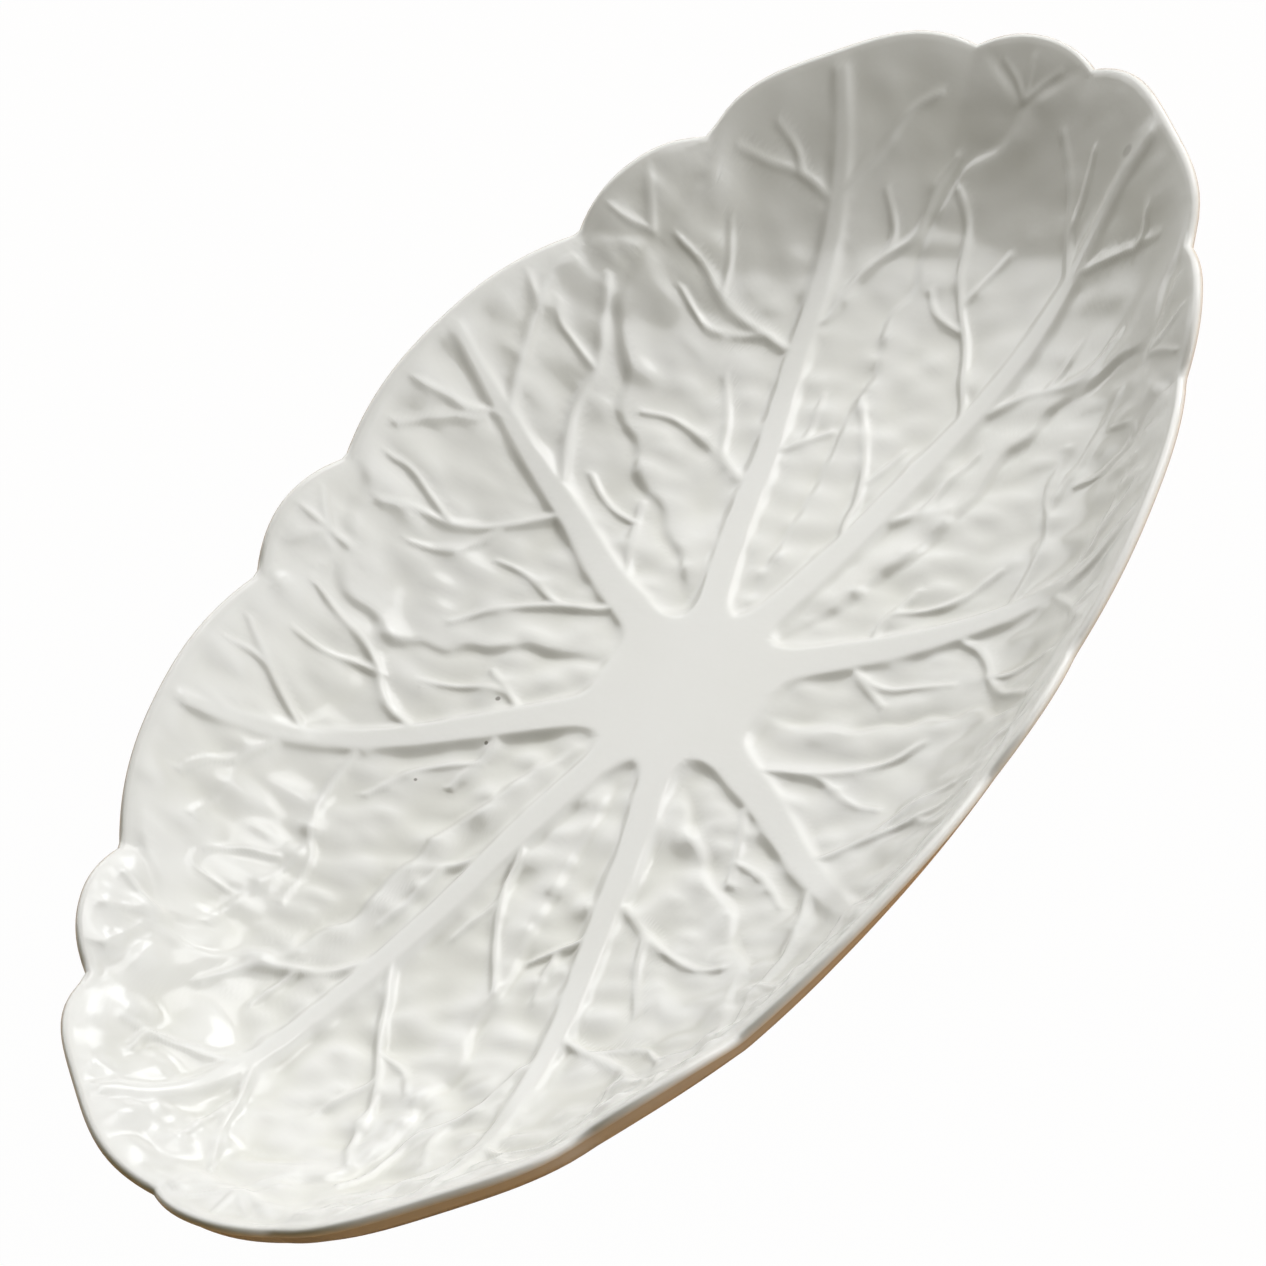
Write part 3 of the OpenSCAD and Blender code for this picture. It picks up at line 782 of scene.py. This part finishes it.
# Bare fired clay of the foot, worn grey where it stands
footSettings = {
    "clay": (0.72, 0.63, 0.51, 1),
    "dark": (0.55, 0.46, 0.36, 1),
    "worn": (0.42, 0.38, 0.33, 1),
    "cloud": (60.0, 4.0),           # scale and detail
    "cloudSpan": (0.35, 0.7),
    "grit": (900.0, 3.0),           # scale and detail
    "gritSpan": (0.6, 0.75, 0.5),
    "gritStrength": 0.35,
    "gritHeight": 0.0006,
    "standing": (0.0002, 0.0014),   # metres above the table
    "wornSpan": (0.3, 0.6),
    "wornShare": 0.7,
    "roughness": 0.82,
    "wornSmooth": 0.2,
}


def footMaterial(s):
    material, bench = newMaterial("bareClay")
    place = bench.put("ShaderNodeTexCoord", {}, {}, "Object")
    height = bench.put("ShaderNodeSeparateXYZ", {}, {0: place}, "Z")
    cloud = bench.noise(place, *s["cloud"])
    grit = bench.noise(place, *s["grit"])
    base = bench.blend(bench.ease(cloud, *s["cloudSpan"]), s["clay"], s["dark"])
    base = bench.blend(bench.easeTo(grit, *s["gritSpan"]), base, s["dark"])
    standing = 1 - bench.ease(height, *s["standing"])
    base = bench.blend(standing * bench.ease(cloud, *s["wornSpan"]) * s["wornShare"], base, s["worn"])
    finishMaterial(bench, {
        "Base Color": base,
        "Roughness": s["roughness"] - standing * s["wornSmooth"],
        "Normal": bench.bump(grit, s["gritStrength"], s["gritHeight"]),
    })
    return material


dishGlaze = glazeMaterial("ivoryGlaze", glazeSettings, True)
wellGlaze = glazeMaterial("wellGlaze", glazeSettings, False)
bareClay = footMaterial(footSettings)

# The dish is pressed from its blank and kept as a plain mesh
rim = Rim(rimSettings, dishSettings)
blank = bpy.data.objects.new("dishBlank", dishBlank(rim, dishSettings))
bpy.context.collection.objects.link(blank)
refineCells(blank.data, refineSettings)
print("dish blank:", len(blank.data.vertices), "points")

relief = leafRelief(dishGlaze, reliefForm)
press = blank.modifiers.new("leafRelief", "NODES")
press.node_group = relief
lineObjects = {name: drawLines(name.replace(" ", ""), lineSets[name], *lineTapers[name]) for name in lineSets}
inputs = {**lineObjects, **reliefSettings}
for socket in relief.interface.items_tree:
    if socket.in_out == "INPUT" and socket.name in inputs:
        press[socket.identifier] = inputs[socket.name]

graph = bpy.context.evaluated_depsgraph_get()
pressedBlank = blank.evaluated_get(graph)
dishMesh = bpy.data.meshes.new_from_object(pressedBlank, preserve_all_data_layers=True, depsgraph=graph)
dishMesh.name = "glazedDish"
glazedDish = bpy.data.objects.new("glazed_dish", dishMesh)
bpy.context.collection.objects.link(glazedDish)
bpy.data.objects.remove(blank)
for lines in lineObjects.values():
    bpy.data.objects.remove(lines)
dishMesh.calc_loop_triangles()
print("glazed dish:", len(dishMesh.loop_triangles), "triangles", [a.name for a in dishMesh.attributes])

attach(glazedDish, "root")
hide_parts("clay_body", "face_glaze", "back_glaze")


def dress(node, material):
    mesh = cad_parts[node].data
    mesh.materials.clear()
    mesh.materials.append(material)


# The foot ring and the well glaze keep the frame's own shapes
dress("foot_ring", bareClay)
dress("well_glaze", wellGlaze)
print("foot ring and well glaze dressed")

# The table is brown and glows faintly brown, which warms the outer wall with its light, but the camera sees
# it as white.
# The room is dim, and only reflections see the sky, towards the far end and above the table's edge.
stageSettings = {
    "table": (0.53, 0.315, 0.135, 1),
    "white": (1, 1, 1, 1),
    "warmth": 0.08,
    "whiteShare": 0.985,
    "halfWidth": 4.0,
    "room": (0.06, 0.048, 0.01, 1),
    "sky": (0.98, 0.99, 1, 1),
    "skyStrength": 2.6,
    "skyEdge": (-0.02, 0.16),   # along the platter, from none to all
    "skyFoot": (-0.08, 0.4),    # upwards, the same
}


# 1 for a ray of one of these kinds
def anyRay(bench, names):
    path = bench.put("ShaderNodeLightPath")
    share = 0.0
    for name in names:
        share = bench.math("MAXIMUM", share, path.outlet(name))
    return share


def seenDirectly(bench):
    return anyRay(bench, ["Is Camera Ray", "Is Transmission Ray"])


def buildTable(s):
    material, bench = newMaterial("brownTable")
    matt = bench.put("ShaderNodeBsdfDiffuse", {}, {"Color": s["table"]})
    # A faint brown glow from the table, lighting the outer wall
    warm = bench.put("ShaderNodeEmission", {}, {"Color": s["table"], "Strength": s["warmth"]})
    brown = bench.put("ShaderNodeAddShader", {}, {0: matt, 1: warm})
    white = bench.put("ShaderNodeEmission", {}, {"Color": s["white"], "Strength": 1.0})
    share = seenDirectly(bench) * s["whiteShare"]
    surface = bench.put("ShaderNodeMixShader", {}, {0: share, 1: brown, 2: white})
    bench.put("ShaderNodeOutputMaterial", {}, {"Surface": surface})
    half = s["halfWidth"]
    corners = [(-half, -half, 0), (half, -half, 0), (half, half, 0), (-half, half, 0)]
    mesh = bpy.data.meshes.new("table")
    mesh.from_pydata(corners, [], [(0, 1, 2, 3)])
    mesh.materials.append(material)
    table = bpy.data.objects.new("table", mesh)
    bpy.context.collection.objects.link(table)


def buildRoom(s):
    world = bpy.data.worlds.new("room")
    bpy.context.scene.world = world
    world.use_nodes = True
    world.node_tree.nodes.clear()
    bench = Bench(world.node_tree)
    room = bench.put("ShaderNodeBackground", {}, {"Color": s["room"], "Strength": 1.0})
    white = bench.put("ShaderNodeBackground", {}, {"Color": s["white"], "Strength": 1.0})
    sky = bench.put("ShaderNodeBackground", {}, {"Color": s["sky"], "Strength": s["skyStrength"]})
    heading = bench.put("ShaderNodeTexCoord", {}, {}, "Generated")
    along = bench.put("ShaderNodeSeparateXYZ", {}, {0: heading})
    sheen = bench.ease(along, *s["skyEdge"]) * bench.ease(along.outlet("Z"), *s["skyFoot"])
    bright = anyRay(bench, ["Is Glossy Ray"]) * sheen
    around = bench.put("ShaderNodeMixShader", {}, {0: bright, 1: room, 2: sky})
    surface = bench.put("ShaderNodeMixShader", {}, {0: seenDirectly(bench), 1: around, 2: white})
    bench.put("ShaderNodeOutputWorld", {}, {"Surface": surface})


# Lamps: where each stands round the dish, in degrees and metres, and whether it shows in the glaze
lampSettings = {
    "window": {"turn": -6, "rise": 38, "away": 2.6, "size": (1.1, 1.5),
               "watts": 23, "colour": (1, 1, 1), "gloss": False},
    "pane": {"turn": -6, "rise": 42, "away": 2.6, "size": (0.9, 1.2),
             "watts": 9, "colour": (1, 1, 1), "gloss": True},
    "leftWindow": {"turn": 64, "rise": 28, "away": 2.6, "size": (1.6, 1.2),
                   "watts": 39, "colour": (1, 1, 1), "gloss": False},
    "rightWindow": {"turn": -60, "rise": 30, "away": 2.6, "size": (1.6, 1.2),
                    "watts": 38, "colour": (1, 1, 1), "gloss": False},
    "curtain": {"turn": 3, "rise": 14, "away": 2.6, "size": (0.55, 0.6),
                "watts": 3.6, "colour": (0.94, 0.97, 1), "gloss": True},
    "card": {"turn": 208, "rise": 2, "away": 1.3, "size": (1.4, 0.08),
             "watts": 0.6, "colour": (0.9, 0.96, 1), "gloss": False},
}


def addLamps(lamps):
    for name, s in lamps.items():
        data = bpy.data.lights.new(name, "AREA")
        data.shape = "RECTANGLE"
        data.size, data.size_y = s["size"]
        data.energy = s["watts"]
        data.color = s["colour"]
        lamp = bpy.data.objects.new(name, data)
        lamp.visible_glossy = s["gloss"]
        turn = math.radians(s["turn"])
        rise = math.radians(s["rise"])
        back = Vector((math.cos(turn) * math.cos(rise), math.sin(turn) * math.cos(rise), math.sin(rise)))
        lamp.location = back * s["away"]
        lamp.rotation_euler = (-back).to_track_quat("-Z", "Y").to_euler()
        bpy.context.collection.objects.link(lamp)


# The photograph's own view: a long lens, tilted, from over the near side, in metres, degrees and mm of lens
cameraSettings = {
    "target": (0.01564, 0.03044, 0.0124),
    "azimuth": -41.84,
    "elevation": 44.335,
    "distance": 2.21695,
    "roll": 22.53,
    "lens": 188.19,
    "sensor": 36,
}


def addCamera(s):
    data = bpy.data.cameras.new("photoCamera")
    data.lens = s["lens"]
    data.sensor_width = s["sensor"]
    data.sensor_fit = "HORIZONTAL"
    camera = bpy.data.objects.new("photoCamera", data)
    turn = math.radians(s["azimuth"])
    rise = math.radians(s["elevation"])
    back = Vector((math.sin(turn) * math.cos(rise), -math.cos(turn) * math.cos(rise), math.sin(rise)))
    level = (-back).to_track_quat("-Z", "Y").to_matrix()
    tilt = level @ Matrix.Rotation(-math.radians(s["roll"]), 3, "Z")
    camera.matrix_world = Matrix.Translation(Vector(s["target"]) + back * s["distance"]) @ tilt.to_4x4()
    bpy.context.collection.objects.link(camera)
    bpy.context.scene.camera = camera


buildTable(stageSettings)
buildRoom(stageSettings)
addLamps(lampSettings)
addCamera(cameraSettings)
bpy.context.scene.view_settings.view_transform = "Standard"
print("stage, lamps and camera set")
